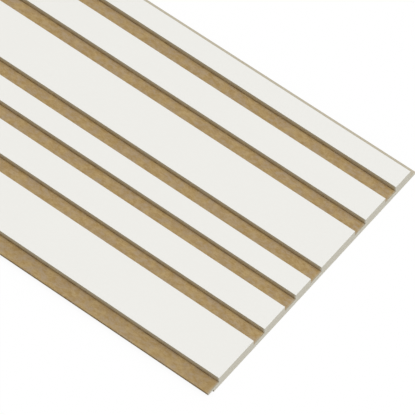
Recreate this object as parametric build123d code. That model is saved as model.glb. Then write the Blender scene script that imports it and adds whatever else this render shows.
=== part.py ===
from build123d import *
import os

# Slatted wall board, milled from one piece of medium density fibreboard and lying on its back.
# X runs along the board, Y across it and Z up from its back. The origin is the middle of the back.
# Going from +Y to -Y the section is a lap lip, the run of slats, and a shelf that ends in a tongue.

# Board blank
board_length = 2400.0
board_thickness = 12.0

# Slatted face: three slats of rising width, the same three again, one width of groove between all
narrow_slat = 20.0
middle_slat = 27.0
wide_slat = 45.0
pattern_repeats = 2
groove_width = 14.2
groove_depth = 6.0

# Lap joint: the tongue of one board lies over the lip of the next, at the bottom of a full groove
lip_width = 7.1
lip_thickness = 3.3
tongue_seat_clearance = 0.1
tongue_tip_clearance = 0.1

# Places that follow from those sizes
back_face = 0.0
slats = [narrow_slat, middle_slat, wide_slat] * pattern_repeats
groove_floor = board_thickness - groove_depth
slatted_width = sum(slats) + (len(slats) - 1) * groove_width
shelf_width = groove_width - lip_width
tongue_reach = groove_width - tongue_tip_clearance
tongue_underside = lip_thickness + tongue_seat_clearance
board_width = lip_width + slatted_width + tongue_reach


def band(start, width, low, high):
    """Rectangle of the section that runs from start towards -Y, between two heights."""
    middle = Pos(start - width / 2, (low + high) / 2)
    return middle * Rectangle(width, high - low)


def board_section():
    """Section across the board: web, slats, lip and tongue joined into one outline."""
    lip_edge = board_width / 2
    first_slat = lip_edge - lip_width
    last_slat_end = first_slat - slatted_width
    outline = band(first_slat, slatted_width + shelf_width, back_face, groove_floor)
    outline += band(lip_edge, lip_width, back_face, lip_thickness)
    outline += band(last_slat_end, tongue_reach, tongue_underside, groove_floor)
    slat_start = first_slat
    for slat_width in slats:
        outline += band(slat_start, slat_width, back_face, board_thickness)
        slat_start -= slat_width + groove_width
    return outline


sawn_end = Plane.YZ.offset(-board_length / 2)
board = extrude(sawn_end * board_section(), amount=board_length)
board.label = "slatted_board"

os.makedirs("parts", exist_ok=True)
export_step(board, "parts/slatted_board.step")
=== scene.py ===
"""Slatted wall board of milled fibreboard: its finish, floor, light and camera, laid out as an add-on.

Everything is in metres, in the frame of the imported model: X along the board, Y across it, Z up.
"""
from math import cos, pi, radians, sin

import bpy
import numpy as np
from bpy.props import FloatProperty, FloatVectorProperty, IntProperty, PointerProperty
from mathutils import Matrix, Vector


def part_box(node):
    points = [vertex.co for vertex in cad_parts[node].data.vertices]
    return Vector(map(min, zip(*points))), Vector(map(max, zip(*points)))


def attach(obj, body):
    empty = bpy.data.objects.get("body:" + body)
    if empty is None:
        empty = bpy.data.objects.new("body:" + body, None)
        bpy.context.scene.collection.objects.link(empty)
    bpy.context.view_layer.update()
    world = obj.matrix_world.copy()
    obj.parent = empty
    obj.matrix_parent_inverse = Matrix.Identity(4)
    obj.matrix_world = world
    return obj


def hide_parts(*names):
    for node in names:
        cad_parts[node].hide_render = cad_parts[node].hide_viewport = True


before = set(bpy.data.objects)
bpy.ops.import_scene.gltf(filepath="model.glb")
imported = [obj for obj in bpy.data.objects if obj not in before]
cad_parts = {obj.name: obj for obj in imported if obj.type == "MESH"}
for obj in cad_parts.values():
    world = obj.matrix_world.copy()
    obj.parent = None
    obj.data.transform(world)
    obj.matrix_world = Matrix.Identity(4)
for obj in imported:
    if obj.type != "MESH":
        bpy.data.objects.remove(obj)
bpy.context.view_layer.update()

bl_info = {
    "name": "Slatted Wall Board",
    "version": (1, 0, 0),
    "blender": (4, 5, 0),
    "location": "3D View > Sidebar > Slatted Board",
    "description": "Dresses a wall board of milled fibreboard and sets its stage",
    "category": "Object",
}

MM = 0.001
# Points nearer to each other than this are in one place
SAME_PLACE = 0.01 * MM
# Camera's sensor, in the millimetres that a lens is given in
SENSOR_WIDTH = 36.0

BOARD_NODE = "slatted_board"
BOARD_PIECE = "primed_board"
# Mesh attribute of painted shade: how far each point's colour is darkened where shade falls, in inner
# corners and along the tongue
CORNER_SHADE = "painted_corner_shade"

# Corners of the board's outline, counted from its start or back from its end
LIP_TOP = 2
FIRST_SLAT_FOOT = 3
FIRST_GROOVE_FOOT = 6
SHELF_FOOT = -4
TONGUE_TOP = -3
TONGUE_LOW = -2

# Coats of the board, in the order of the mesh's materials
PRIMER, FIBRE, LIP, BACK, END = range(5)

# Flat map that the board's colours can be baked on. Its gaps and its strip for the ends are shares of its
# side.
MAP_NAME = "OFBake"
MAP_GAP = 0.002
MAP_ENDS = 0.035
# How wide primer, fibre, lip and back are drawn on it, and how long the stretches at the ends
MAP_ROOM = (1.0, 3.0, 3.0, 0.6)
MAP_END_ROOM = 4.0

# What makes a Mix node blend two colours
BLEND = {"give": "Result_Color", "data_type": "RGBA"}

# Windows of a noise's values that are spread over a whole range, since most values lie near the middle
SOFT_PATCHES = {"From Min": 0.38, "From Max": 0.62}
BUNDLES = {"From Min": 0.43, "From Max": 0.6}
MIST_GRAINS = {"From Min": 0.3, "From Max": 0.6}
SOAKED_SPOTS = {"From Min": 0.3, "From Max": 0.7}
DEEP_SCRATCHES = {"From Min": 0.5, "From Max": 0.8}


def linear(hex_colour):
    """Scene-linear RGBA of an sRGB colour written as six hex digits."""
    coded = np.array([int(hex_colour[i:i + 2], 16) for i in (0, 2, 4)]) / 255
    light = np.where(coded <= 0.04045, coded / 12.92, ((coded + 0.055) / 1.055) ** 2.4)
    return (*light.tolist(), 1.0)


def length(name, description, size_mm):
    """Property for a length that is written in millimetres."""
    return FloatProperty(
        name=name, description=description, default=size_mm * MM, unit="LENGTH", precision=5)


def angle(name, description, degrees):
    """Property for an angle that is written in degrees."""
    return FloatProperty(name=name, description=description, default=radians(degrees), subtype="ANGLE")


def share(name, description, part):
    """Property for a part of a whole."""
    return FloatProperty(name=name, description=description, default=part, subtype="FACTOR", min=0, max=1)


def colour(name, description, hex_colour):
    """Property for a surface colour that is written as an sRGB hex value."""
    return FloatVectorProperty(
        name=name, description=description, default=linear(hex_colour), size=4, subtype="COLOR",
        min=0, max=1)


class BoardFinish(bpy.types.PropertyGroup):
    """Edges, coats and colours of the board."""

    arris: length("Arris", "Radius that a light sanding leaves on outer edges", 0.2)
    cutter_corner: length("Cutter corner", "Radius that the cutter leaves in inner corners", 0.15)
    end_arris: length("End arris", "Radius on the edges of the sawn ends", 0.12)
    film: length("Primer film", "Thickness of the white primer on the face", 0.12)
    skin: length("Pressed skin", "Depth of the darker, denser layer under both faces", 2.5)
    # Painted shade: the next five set how far from an inner corner, and how strongly, the fibre's colour is
    # darkened where shade falls, in the grooves' corners, at the shelf and along the tongue's edges
    shade_reach: length("Burnish reach", "How far from an inner corner the cutter's tip has rubbed", 0.9)
    groove_shade: share("Groove rub", "How dark that has left the grooves' corners, next to the shelf's", 0.8)
    shelf_shade: share("Shelf rub", "How much of its corner's dark shelf and wall keep at that reach", 0.22)
    tongue_top_shade: share("Tongue rub", "How much of that dark the tongue's upper edge has", 0.12)
    tongue_tip_shade: share("Tip rub", "How much of that dark handling has left on the tongue's lower edge", 0.6)
    drift: length("Drift", "Height over the groove floor at which the walls' primer mist is thickest", 4.0)
    wall_cover: share("Wall cover", "How much of a wall's fibre the mist hides where it is thickest", 0.58)
    end_mist: length("End mist", "How far in from the ends the primer has drifted onto raw fibre", 2.2)
    end_cover: share("End cover", "How much of the grooves' floors that drift hides at the very end", 0.55)
    end_wrap: length("End wrap", "Height over the floor where it starts to hide the walls' ends fully", 1.0)
    station: length("Station spacing", "Distance between the sections that carry the mesh", 50.0)
    arc_steps: IntProperty(
        name="Arc steps", description="Straight steps in each rounded corner", default=3, min=1)
    primer: colour("Primer", "Matt white primer on the slats", "EEEDE8")
    fibre_tan: colour("Tan fibre", "Raw fibre where it is warmest", "B89F71")
    fibre_grey: colour("Grey fibre", "Raw fibre where it leans to grey", "AF9A7C")
    fibre_fleck: colour("Fibre fleck", "Darker bundles of raw fibre", "A48755")
    wall_mist: colour("Wall mist", "Primer that drifted onto the groove walls", "CECEBC")
    # Painted shade: the colour that inner corners and the tongue's edges are darkened towards
    painted_shade: colour("Burnished fibre", "Fibre that the cutter's tip has rubbed dark", "695230")
    sealed_end: colour("Sealed end", "Thin primer soaked into a sawn end", "E6E2D3")
    end_drift: colour("End drift", "Primer that drifted over the ends onto raw fibre", "B2AD9D")
    misted_lip: colour("Misted lip", "Primer mist on the lap lip", "C4BDAA")
    sanded_back: colour("Sanded back", "Sanded raw back", "B79E77")


class StageSetup(bpy.types.PropertyGroup):
    """Floor, light and camera."""

    azimuth: angle("Azimuth", "Camera's turn about the board", 38.33)
    elevation: angle("Elevation", "Camera's height above the horizon", 56.27)
    lens: FloatProperty(name="Lens", description="Focal length", default=399.3, subtype="DISTANCE_CAMERA")
    distance: length("Distance", "From the camera to the point that it looks at", 3775.5)
    aim_back: length("Aim back", "How far back from the near end the camera looks", 109.2)
    aim_across: length("Aim across", "How far from the middle line the camera looks", -0.95)
    floor_size: length("Floor size", "Side of the square floor", 40000.0)
    floor_drop: length("Floor drop", "Gap between the board's back and the floor", 0.1)
    floor_white: colour("Floor white", "Floor's colour to the eye", "FFFFFF")
    floor_bounce: colour("Floor bounce", "Floor's colour as it lights the board", "90908E")
    shadow: share("Shadow", "How much of the floor's white answers to light", 0.08)
    key: share("Key", "How much of the light comes from the lamp, and not from all round", 0.38)
    key_azimuth: angle("Key azimuth", "Lamp's turn from +Y towards +X", 90.0)
    key_elevation: angle("Key elevation", "Lamp's height above the horizon", 60.0)
    key_spread: angle("Key spread", "How wide the lamp looks from the board", 40.0)


def add_node(tree, kind, inputs=None, give=None, **settings):
    """Adds one shader node and returns its output called give, or else its first.

    Settings are the node's own properties, and inputs maps a socket's identifier to a value or an output.
    """
    made = tree.nodes.new("ShaderNode" + kind)
    for name, value in settings.items():
        setattr(made, name, value)
    sockets = {socket.identifier: socket for socket in made.inputs}
    for key, value in (inputs or {}).items():
        if isinstance(value, bpy.types.NodeSocket):
            tree.links.new(value, sockets[key])
        else:
            sockets[key].default_value = value
    return next((socket for socket in made.outputs if give in (None, socket.identifier)), None)


def new_material(name):
    """Material with an empty node tree, and that tree."""
    made = bpy.data.materials.new(name)
    made.use_nodes = True
    made.node_tree.nodes.clear()
    return made, made.node_tree


def cut_fibre(tree, place, finish, thickness):
    """Colour of cut fibreboard before anything lands on it.

    Patches lean to tan or to grey, and darker bundles of fibre lie in them, twice as long as wide along the
    feed. The last millimetres under both faces are pressed harder and are darker.
    """
    patch_size = 8 * MM
    # Real bundles are about a sixth as wide: they are drawn coarser so that they show
    bundle_width = 2.4 * MM
    along_feed = (0.5, 1, 1)
    pressed_dark = 0.4

    patches = add_node(tree, "TexNoise", {"Vector": place, "Scale": 1 / patch_size, "Detail": 1.0})
    patches = add_node(tree, "MapRange", {"Value": patches, **SOFT_PATCHES})
    ground = add_node(
        tree, "Mix",
        {"Factor_Float": patches, "A_Color": finish.fibre_tan, "B_Color": finish.fibre_grey}, **BLEND)
    fed = add_node(tree, "Mapping", {"Vector": place, "Scale": along_feed})
    flecks = add_node(
        tree, "TexNoise", {"Vector": fed, "Scale": 1 / bundle_width, "Detail": 5.0, "Roughness": 0.85})
    flecks = add_node(tree, "MapRange", {"Value": flecks, **BUNDLES})
    flecked = add_node(
        tree, "Mix", {"Factor_Float": flecks, "A_Color": ground, "B_Color": finish.fibre_fleck}, **BLEND)
    middle = thickness / 2
    height = add_node(tree, "SeparateXYZ", {"Vector": place}, give="Z")
    from_core = add_node(tree, "Math", {"Value": height, "Value_001": middle}, operation="SUBTRACT")
    from_core = add_node(tree, "Math", {"Value": from_core}, operation="ABSOLUTE")
    pressed = add_node(
        tree, "MapRange",
        {"Value": from_core, "From Min": middle - finish.skin, "From Max": middle, "To Max": pressed_dark})
    return add_node(
        tree, "Mix", {"Factor_Float": pressed, "A_Color": flecked, "B_Color": finish.fibre_fleck}, **BLEND)


def sprayed_primer(finish):
    """Water-based primer, sprayed and denibbed: an even matt white with the faint peel of a spray."""
    cloud_size = 70 * MM
    thinnest = 0.98
    peel_size, peel_height = 1.8 * MM, 0.02 * MM

    made, tree = new_material("sprayed_white_primer")
    place = add_node(tree, "TexCoord", give="Object")
    clouds = add_node(tree, "TexNoise", {"Vector": place, "Scale": 1 / cloud_size})
    thin = (*(thinnest * part for part in finish.primer[:3]), 1.0)
    white = add_node(
        tree, "Mix", {"Factor_Float": clouds, "A_Color": finish.primer, "B_Color": thin}, **BLEND)
    peel = add_node(tree, "TexNoise", {"Vector": place, "Scale": 1 / peel_size, "Detail": 1.0})
    normal = add_node(tree, "Bump", {"Height": peel, "Strength": 0.5, "Distance": peel_height})
    surface = add_node(
        tree, "BsdfPrincipled", {"Base Color": white, "Normal": normal, "Roughness": 0.6, "IOR": 1.5})
    add_node(tree, "OutputMaterial", {"Surface": surface})
    return made


def shaded_corners(tree, place, finish, bare):
    """Colour of fibre with shade painted into its inner corners, as strong as the mesh's attribute says, in
    uneven patches.
    """
    patch_size = 9 * MM
    faintest = 0.65

    # Painted shade: how dark each point is painted where shade falls
    shaded = add_node(tree, "Attribute", give="Fac", attribute_name=CORNER_SHADE)
    uneven = add_node(tree, "TexNoise", {"Vector": place, "Scale": 1 / patch_size, "Detail": 1.0})
    uneven = add_node(tree, "MapRange", {"Value": uneven, **SOFT_PATCHES, "To Min": faintest})
    shaded = add_node(tree, "Math", {"Value": shaded, "Value_001": uneven}, operation="MULTIPLY")
    return add_node(
        tree, "Mix", {"Factor_Float": shaded, "A_Color": bare, "B_Color": finish.painted_shade}, **BLEND)


def misted_walls(tree, place, finish, worn, groove_floor):
    """Colour of fibre under a mist of primer, which thins out down the walls and is gone at the floor."""
    height = add_node(tree, "SeparateXYZ", {"Vector": place}, give="Z")
    misted = add_node(
        tree, "MapRange",
        {"Value": height, "From Min": groove_floor, "From Max": groove_floor + finish.drift,
         "To Max": finish.wall_cover})
    return add_node(
        tree, "Mix", {"Factor_Float": misted, "A_Color": worn, "B_Color": finish.wall_mist}, **BLEND)


def drifted_ends(tree, place, finish, inland, groove_floor, half_length):
    """Colour of fibre close to the ends: the seal has wrapped round the walls and hazed the floors."""
    wrapped = groove_floor + finish.end_wrap
    height = add_node(tree, "SeparateXYZ", {"Vector": place}, give="Z")
    on_wall = add_node(tree, "MapRange", {"Value": height, "From Min": groove_floor, "From Max": wrapped})
    cover = add_node(tree, "MapRange", {"Value": on_wall, "To Min": finish.end_cover})
    along = add_node(tree, "SeparateXYZ", {"Vector": place}, give="X")
    along = add_node(tree, "Math", {"Value": along}, operation="ABSOLUTE")
    drifted = add_node(
        tree, "MapRange",
        {"Value": along, "From Min": half_length - finish.end_mist, "From Max": half_length,
         "To Max": cover},
        interpolation_type="SMOOTHSTEP")
    drift = add_node(
        tree, "Mix",
        {"Factor_Float": on_wall, "A_Color": finish.end_drift, "B_Color": finish.sealed_end}, **BLEND)
    return add_node(
        tree, "Mix", {"Factor_Float": drifted, "A_Color": inland, "B_Color": drift}, **BLEND)


def milled_fibreboard(finish, thickness, groove_floor, half_length):
    """Raw fibreboard cut by a moulder: dull brown fibre with a short fuzz, with shade painted into the inner
    corners.
    """
    # Real fuzz is far finer: it is drawn coarser so that it shows
    fuzz_width, fuzz_height = 0.7 * MM, 0.06 * MM

    made, tree = new_material("milled_raw_fibreboard")
    place = add_node(tree, "TexCoord", give="Object")
    base = cut_fibre(tree, place, finish, thickness)
    base = shaded_corners(tree, place, finish, base)
    base = misted_walls(tree, place, finish, base, groove_floor)
    base = drifted_ends(tree, place, finish, base, groove_floor, half_length)
    fuzz = add_node(tree, "TexNoise", {"Vector": place, "Scale": 1 / fuzz_width, "Detail": 3.0})
    normal = add_node(tree, "Bump", {"Height": fuzz, "Strength": 0.6, "Distance": fuzz_height})
    surface = add_node(
        tree, "BsdfPrincipled", {"Base Color": base, "Normal": normal, "Roughness": 0.85, "IOR": 1.45})
    add_node(tree, "OutputMaterial", {"Surface": surface})
    return made


def misted_fibreboard(finish, thickness):
    """Fibreboard that caught the edge of the spray: a thin pale mist, with brown grains showing through."""
    grain_size, grain_height = 1.3 * MM, 0.05 * MM
    thinnest_cover = 0.8

    made, tree = new_material("primer_misted_fibreboard")
    place = add_node(tree, "TexCoord", give="Object")
    bare = cut_fibre(tree, place, finish, thickness)
    grains = add_node(tree, "TexNoise", {"Vector": place, "Scale": 1 / grain_size, "Detail": 3.0})
    cover = add_node(tree, "MapRange", {"Value": grains, **MIST_GRAINS, "To Min": thinnest_cover})
    base = add_node(
        tree, "Mix", {"Factor_Float": cover, "A_Color": bare, "B_Color": finish.misted_lip}, **BLEND)
    normal = add_node(tree, "Bump", {"Height": grains, "Strength": 0.5, "Distance": grain_height})
    surface = add_node(
        tree, "BsdfPrincipled", {"Base Color": base, "Normal": normal, "Roughness": 0.75, "IOR": 1.48})
    add_node(tree, "OutputMaterial", {"Surface": surface})
    return made


def sealed_sawn_end(finish, thickness):
    """Sawn end under one thin coat: open fibre drinks the primer and stays warm, with upright saw lines."""
    soak_size = 2 * MM
    thinnest_cover = 0.9
    saw_pitch, saw_depth = 0.6 * MM, 0.05 * MM
    drawn_up = (1, 1, 0.12)

    made, tree = new_material("sealed_sawn_end")
    place = add_node(tree, "TexCoord", give="Object")
    bare = cut_fibre(tree, place, finish, thickness)
    soak = add_node(tree, "TexNoise", {"Vector": place, "Scale": 1 / soak_size, "Detail": 3.0})
    cover = add_node(tree, "MapRange", {"Value": soak, **SOAKED_SPOTS, "To Min": thinnest_cover})
    base = add_node(
        tree, "Mix", {"Factor_Float": cover, "A_Color": bare, "B_Color": finish.sealed_end}, **BLEND)
    upright = add_node(tree, "Mapping", {"Vector": place, "Scale": drawn_up})
    saw_lines = add_node(tree, "TexNoise", {"Vector": upright, "Scale": 1 / saw_pitch})
    normal = add_node(tree, "Bump", {"Height": saw_lines, "Strength": 0.5, "Distance": saw_depth})
    surface = add_node(
        tree, "BsdfPrincipled", {"Base Color": base, "Normal": normal, "Roughness": 0.7, "IOR": 1.48})
    add_node(tree, "OutputMaterial", {"Surface": surface})
    return made


def sanded_back(finish):
    """Sanded raw back: a smooth, even brown with the long fine scratches of a wide belt."""
    cloud_size = 14 * MM
    # Real scratches are a few times finer: they are drawn coarser so that they show
    scratch_width, scratch_depth = 0.8 * MM, 0.02 * MM
    drawn_along = (0.015, 1, 1)
    scratch_dark = 0.35

    made, tree = new_material("sanded_fibreboard_back")
    place = add_node(tree, "TexCoord", give="Object")
    clouds = add_node(tree, "TexNoise", {"Vector": place, "Scale": 1 / cloud_size})
    even = add_node(
        tree, "Mix",
        {"Factor_Float": clouds, "A_Color": finish.sanded_back, "B_Color": finish.fibre_grey}, **BLEND)
    belt = add_node(tree, "Mapping", {"Vector": place, "Scale": drawn_along})
    scratches = add_node(tree, "TexNoise", {"Vector": belt, "Scale": 1 / scratch_width, "Detail": 3.0})
    marks = add_node(tree, "MapRange", {"Value": scratches, **DEEP_SCRATCHES, "To Max": scratch_dark})
    base = add_node(
        tree, "Mix", {"Factor_Float": marks, "A_Color": even, "B_Color": finish.fibre_fleck}, **BLEND)
    normal = add_node(tree, "Bump", {"Height": scratches, "Strength": 0.4, "Distance": scratch_depth})
    surface = add_node(
        tree, "BsdfPrincipled", {"Base Color": base, "Normal": normal, "Roughness": 0.7, "IOR": 1.45})
    add_node(tree, "OutputMaterial", {"Surface": surface})
    return made


def board_outline():
    """Corner points (y, z) of the board's section, read off the CAD node, anticlockwise as seen from +X.

    They start at the back's shelf edge, run along the back to the lip, then step over each slat in turn
    (up its far wall, across its top, down its near wall) and end round the tongue.
    """
    points = np.empty(len(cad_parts[BOARD_NODE].data.vertices) * 3)
    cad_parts[BOARD_NODE].data.vertices.foreach_get("co", points)
    y, z = points.reshape(-1, 3)[:, 1:].T
    back, top = z.min(), z.max()
    groove_floor = z[z < top - SAME_PLACE].max()
    lip_edge, tongue_tip = y.max(), y.min()
    lip_top = z[y > lip_edge - SAME_PLACE].max()
    tongue_low = z[y < tongue_tip + SAME_PLACE].min()
    shelf_edge = y[z < back + SAME_PLACE].min()
    edges = np.unique(np.round(y[z > top - SAME_PLACE] / SAME_PLACE))[::-1] * SAME_PLACE
    far, near = edges.reshape(-1, 2).T
    tops, floors = np.full_like(far, top), np.full_like(far, groove_floor)
    before = floors.copy()
    before[0] = lip_top
    steps = np.stack([far, before, far, tops, near, tops, near, floors], axis=1)
    return np.concatenate([
        [[shelf_edge, back], [lip_edge, back], [lip_edge, lip_top]],
        steps.reshape(-1, 2),
        [[tongue_tip, groove_floor], [tongue_tip, tongue_low], [shelf_edge, tongue_low]],
    ])


def eased_outline(corners, finish):
    """Outline with each square corner P turned into a quarter circle, and how much shade is painted at each
    point.

    With a the direction into the corner and b the direction out of it, the arc's centre is P - r a + r b,
    and its points are centre + r (a sin t - b cos t) for t from 0 to a right angle. The radius r is the
    arris where the outline turns left, and the cutter's where it turns right. A right turn also gets a point
    on either side, P - d a and P + d b, where the painted shade on its arc has faded to 0. Shade is painted
    darkest into the shelf's corner. From there the painted shade fades out up the wall, and fades along the
    shelf to what the tongue's upper edge keeps. At the tongue's lower edge it is painted dark again.
    """
    into = corners - np.roll(corners, 1, axis=0)
    into /= np.linalg.norm(into, axis=1, keepdims=True)
    out_of = np.roll(into, -1, axis=0)
    inner = into[:, 0] * out_of[:, 1] - into[:, 1] * out_of[:, 0] < 0
    radius = np.where(inner, finish.cutter_corner, finish.arris)[:, None, None]
    turn = np.linspace(0, pi / 2, finish.arc_steps + 1)[None, :, None]
    a, b, p = into[:, None], out_of[:, None], corners[:, None]
    arcs = p + radius * (b - a + a * np.sin(turn) - b * np.cos(turn))
    points = np.concatenate([p - finish.shade_reach * a, arcs, p + finish.shade_reach * b], axis=1)
    # Painted shade of each point, darkest in the inner corners and at the tongue's lower edge, where shade
    # falls
    shade = np.zeros(points.shape[:2])
    shade[:, 1:-1] = finish.groove_shade * inner[:, None]
    shade[SHELF_FOOT, 1:-1] = 1
    shade[SHELF_FOOT, [0, -1]] = finish.shelf_shade
    shade[TONGUE_TOP] = finish.tongue_top_shade
    shade[TONGUE_LOW] = finish.tongue_tip_shade
    kept = np.ones(points.shape[:2], bool)
    kept[:, [0, -1]] = inner[:, None]
    return points[kept], shade[kept]


def outward(points):
    """Unit normals of a closed anticlockwise outline at its points: the mean of the two sides' normals."""
    side = np.roll(points, -1, axis=0) - points
    normal = np.stack([side[:, 1], -side[:, 0]], axis=1)
    normal /= np.linalg.norm(normal, axis=1, keepdims=True)
    normal += np.roll(normal, 1, axis=0)
    return normal / np.linalg.norm(normal, axis=1, keepdims=True)


def board_stations(low, high, finish):
    """Places along the board and how far the section is drawn in there.

    At each end the section shrinks by r (1 - cos t) at r (1 - sin t) from the end, for t from 0 to a right
    angle, which rounds the edges of the sawn end. Between the ends it keeps its size.
    """
    turn = np.linspace(0, pi / 2, finish.arc_steps + 1)
    run_in = finish.end_arris * (1 - np.sin(turn))
    shrink = finish.end_arris * (1 - np.cos(turn))
    spans = max(2, round((high - low) / finish.station))
    middle = np.linspace(low, high, spans + 1)[1:-1]
    places = np.concatenate([low + run_in[::-1], middle, high - run_in])
    inset = np.concatenate([shrink[::-1], np.zeros_like(middle), shrink])
    return places, inset


def coat_of(points, corners, finish):
    """Coat of each side of the outline, by where its middle lies.

    Primer, the lip's mist and the sanded back reach a film's thickness down or up from their own level, and
    every other side is raw fibre.
    """
    y, z = ((points + np.roll(points, -1, axis=0)) / 2).T
    lip_top, first_slat = corners[LIP_TOP, 1], corners[FIRST_SLAT_FOOT, 0]
    primed = z > corners[:, 1].max() - finish.film
    on_lip = (y > first_slat + finish.cutter_corner) & (z > lip_top - finish.film)
    on_back = z < corners[:, 1].min() + finish.film
    return np.select([primed, on_lip, on_back], [PRIMER, LIP, BACK], default=FIBRE)


def unrolled(points, places, side_coats, end_reach):
    """Places (u, v) of all the face corners on a flat map of the board, in the order of the faces.

    The outline is unrolled along v, with a gap wherever the coat changes and more room for raw fibre than
    for plain coats. The length runs along u in two halves, one above the other, and the last stretch at each
    end is drawn out, for the fade there. The two end sections lie side by side in a strip along the top.
    """
    gaps = MAP_GAP * (side_coats != np.roll(side_coats, 1))
    gaps[0] = MAP_GAP
    room = np.linalg.norm(np.roll(points, -1, axis=0) - points, axis=1) * np.take(MAP_ROOM, side_coats)
    half_height = (1 - MAP_ENDS) / 2
    room *= (half_height - gaps.sum()) / room.sum()
    top = np.cumsum(gaps + room)

    runs = np.diff(places)
    middle = (places[:-1] + places[1:]) / 2
    from_end = np.minimum(middle - places[0], places[-1] - middle)
    runs *= np.where(from_end < end_reach, MAP_END_ROOM, 1)
    second = middle > middle.mean()
    runs *= (1 - 2 * MAP_GAP) / np.where(second, runs[second].sum(), runs[~second].sum())
    right = MAP_GAP + np.cumsum(runs) - second * runs[~second].sum()

    u = np.stack([right - runs, right - runs, right, right], axis=1)[:, None]
    v = np.stack([top - room, top, top, top - room], axis=1)[None] + half_height * second[:, None, None]
    sides = np.stack(np.broadcast_arrays(u, v), axis=-1).reshape(-1, 2)
    half_width = 0.5
    section = (points - points.min(axis=0)) / np.ptp(points, axis=0)
    section *= (half_width - 2 * MAP_GAP, MAP_ENDS - 2 * MAP_GAP)
    section += (MAP_GAP, 1 - MAP_ENDS + MAP_GAP)
    return np.concatenate([sides, section[::-1], section + (half_width, 0)])


def carried_mesh(name, points, shade, places, inset, side_coats):
    """Closed mesh of an outline carried along X: a grid of stations by points, capped at both ends."""
    drawn_in = points[None] - inset[:, None, None] * outward(points)[None]
    along = np.broadcast_to(places[:, None, None], drawn_in.shape[:2] + (1,))
    vertices = np.concatenate([along, drawn_in], axis=2).reshape(-1, 3)
    grid = np.arange(len(vertices)).reshape(drawn_in.shape[:2])
    ahead = np.roll(grid, -1, axis=1)
    sides = np.stack([grid[:-1], ahead[:-1], ahead[1:], grid[1:]], axis=2).reshape(-1, 4)
    mesh = bpy.data.meshes.new(name)
    mesh.from_pydata(vertices.tolist(), [], sides.tolist() + [grid[0, ::-1].tolist(), grid[-1].tolist()])
    coats = np.concatenate([np.tile(side_coats, len(places) - 1), [END, END]])
    mesh.polygons.foreach_set("material_index", coats.astype(np.int32))
    # Painted shade at each point, kept as an attribute that darkens the fibre's colour where shade falls
    shaded = mesh.attributes.new(CORNER_SHADE, "FLOAT", "POINT")
    shaded.data.foreach_set("value", np.tile(shade, len(places)).astype(np.float32))
    mesh.update()
    return mesh


class SLATBOARD_OT_dress_board(bpy.types.Operator):
    """Makes the board with eased edges and its primed, milled, misted, sawn and sanded surfaces"""

    bl_idname = "slatboard.dress_board"
    bl_label = "Dress Board"

    def execute(self, context):
        finish = context.scene.slatboard_finish
        low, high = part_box(BOARD_NODE)
        thickness = high[2] - low[2]
        corners = board_outline()
        points, shade = eased_outline(corners, finish)
        places, inset = board_stations(low[0], high[0], finish)
        side_coats = coat_of(points, corners, finish)
        mesh = carried_mesh(BOARD_PIECE, points, shade, places, inset, side_coats)
        flat = mesh.uv_layers.new(name=MAP_NAME)
        spots = unrolled(points, places, side_coats, finish.station)
        flat.uv.foreach_set("vector", spots.astype(np.float32).ravel())
        coats = {
            PRIMER: sprayed_primer(finish),
            FIBRE: milled_fibreboard(finish, thickness, corners[FIRST_GROOVE_FOOT, 1], high[0]),
            LIP: misted_fibreboard(finish, thickness),
            BACK: sanded_back(finish),
            END: sealed_sawn_end(finish, thickness),
        }
        for coat in sorted(coats):
            mesh.materials.append(coats[coat])
        board = bpy.data.objects.new(BOARD_PIECE, mesh)
        context.collection.objects.link(board)
        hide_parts(BOARD_NODE)
        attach(board, "root")
        return {"FINISHED"}


def shown_rays(tree):
    """1 for rays that show the background itself: the camera's, and those that gloss and glass send on."""
    seen = add_node(tree, "LightPath", give="Is Camera Ray")
    for kind in ("Is Glossy Ray", "Is Transmission Ray"):
        mirrored = add_node(tree, "LightPath", give=kind)
        seen = add_node(tree, "Math", {"Value": seen, "Value_001": mirrored}, operation="MAXIMUM")
    return seen


def pale_floor(stage):
    """Matt white studio floor: white to the eye but for the board's soft shadow, and mid grey as a light."""
    made, tree = new_material("matt_studio_floor")
    bounce = add_node(tree, "BsdfDiffuse", {"Color": stage.floor_bounce})
    white = add_node(tree, "Emission", {"Color": stage.floor_white})
    lit = add_node(tree, "BsdfDiffuse", {"Color": stage.floor_white})
    shown = add_node(tree, "MixShader", {"Fac": stage.shadow, "Shader": white, "Shader_001": lit})
    surface = add_node(
        tree, "MixShader", {"Fac": shown_rays(tree), "Shader": bounce, "Shader_001": shown})
    add_node(tree, "OutputMaterial", {"Surface": surface})
    return made


def even_sky(stage):
    """World of even soft light, as strong as the lamp leaves room for, which shows as white."""
    world = bpy.data.worlds.new("even_studio_light")
    world.use_nodes = True
    tree = world.node_tree
    tree.nodes.clear()
    strength = add_node(tree, "MapRange", {"Value": shown_rays(tree), "To Min": 1 - stage.key})
    sky = add_node(tree, "Background", {"Color": linear("FFFFFF"), "Strength": strength})
    add_node(tree, "OutputWorld", {"Surface": sky})
    return world


def studio_floor(stage, level):
    """Square floor at the given level."""
    half = stage.floor_size / 2
    square = [(-half, -half, level), (half, -half, level), (half, half, level), (-half, half, level)]
    mesh = bpy.data.meshes.new("studio_floor")
    mesh.from_pydata(square, [], [(0, 1, 2, 3)])
    mesh.materials.append(pale_floor(stage))
    return bpy.data.objects.new("studio_floor", mesh)


def wide_key(stage):
    """Wide, soft lamp that gives a level surface the key's share of light, however high it stands."""
    lamp = bpy.data.lights.new("wide_key", "SUN")
    lamp.angle = stage.key_spread
    lamp.energy = stage.key * pi / sin(stage.key_elevation)
    flat, rise = cos(stage.key_elevation), sin(stage.key_elevation)
    towards = Vector((sin(stage.key_azimuth) * flat, cos(stage.key_azimuth) * flat, rise))
    key = bpy.data.objects.new("wide_key", lamp)
    key.rotation_euler = towards.to_track_quat("Z", "Y").to_euler()
    return key


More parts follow.
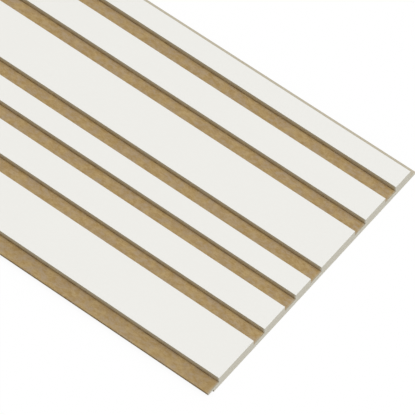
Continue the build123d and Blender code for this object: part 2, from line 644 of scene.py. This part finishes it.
def board_camera(stage, end, top):
    """Camera that looks down on the board's top, a little back from the given end."""
    lens = bpy.data.cameras.new("board_camera")
    lens.sensor_width = SENSOR_WIDTH
    lens.lens = stage.lens
    lens.clip_end = stage.floor_size
    flat, rise = cos(stage.elevation), sin(stage.elevation)
    back = Vector((sin(stage.azimuth) * flat, -cos(stage.azimuth) * flat, rise))
    right = Vector((cos(stage.azimuth), sin(stage.azimuth), 0))
    turn = Matrix((right, back.cross(right), back)).transposed().to_4x4()
    aim = Vector((end - stage.aim_back, stage.aim_across, top))
    camera = bpy.data.objects.new("board_camera", lens)
    camera.matrix_world = Matrix.Translation(aim + back * stage.distance) @ turn
    return camera


class SLATBOARD_OT_set_stage(bpy.types.Operator):
    """Lays the floor, lights it and points the camera at the board's near end"""

    bl_idname = "slatboard.set_stage"
    bl_label = "Set Stage"

    def execute(self, context):
        stage = context.scene.slatboard_stage
        low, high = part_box(BOARD_NODE)
        context.scene.view_settings.view_transform = "Standard"
        context.scene.world = even_sky(stage)
        floor = studio_floor(stage, low[2] - stage.floor_drop)
        camera = board_camera(stage, high[0], high[2])
        for made in (floor, wide_key(stage), camera):
            context.collection.objects.link(made)
        context.scene.camera = camera
        return {"FINISHED"}


class SLATBOARD_PT_panel(bpy.types.Panel):
    """Sidebar panel of the slatted board"""

    bl_idname = "SLATBOARD_PT_panel"
    bl_label = "Slatted Board"
    bl_space_type = "VIEW_3D"
    bl_region_type = "UI"
    bl_category = "Slatted Board"

    def draw(self, context):
        for group in (context.scene.slatboard_finish, context.scene.slatboard_stage):
            for name in group.__annotations__:
                self.layout.prop(group, name)
        self.layout.operator(SLATBOARD_OT_dress_board.bl_idname)
        self.layout.operator(SLATBOARD_OT_set_stage.bl_idname)


CLASSES = (
    BoardFinish,
    StageSetup,
    SLATBOARD_OT_dress_board,
    SLATBOARD_OT_set_stage,
    SLATBOARD_PT_panel,
)


def register():
    """Makes the classes known to Blender, and gives every scene a finish and a stage."""
    for made in CLASSES:
        bpy.utils.register_class(made)
    bpy.types.Scene.slatboard_finish = PointerProperty(type=BoardFinish)
    bpy.types.Scene.slatboard_stage = PointerProperty(type=StageSetup)


def unregister():
    """Takes back what register gave, in the other order."""
    del bpy.types.Scene.slatboard_stage
    del bpy.types.Scene.slatboard_finish
    for made in reversed(CLASSES):
        bpy.utils.unregister_class(made)


def main():
    register()
    bpy.ops.slatboard.dress_board()
    bpy.ops.slatboard.set_stage()


if __name__ == "__main__":
    main()
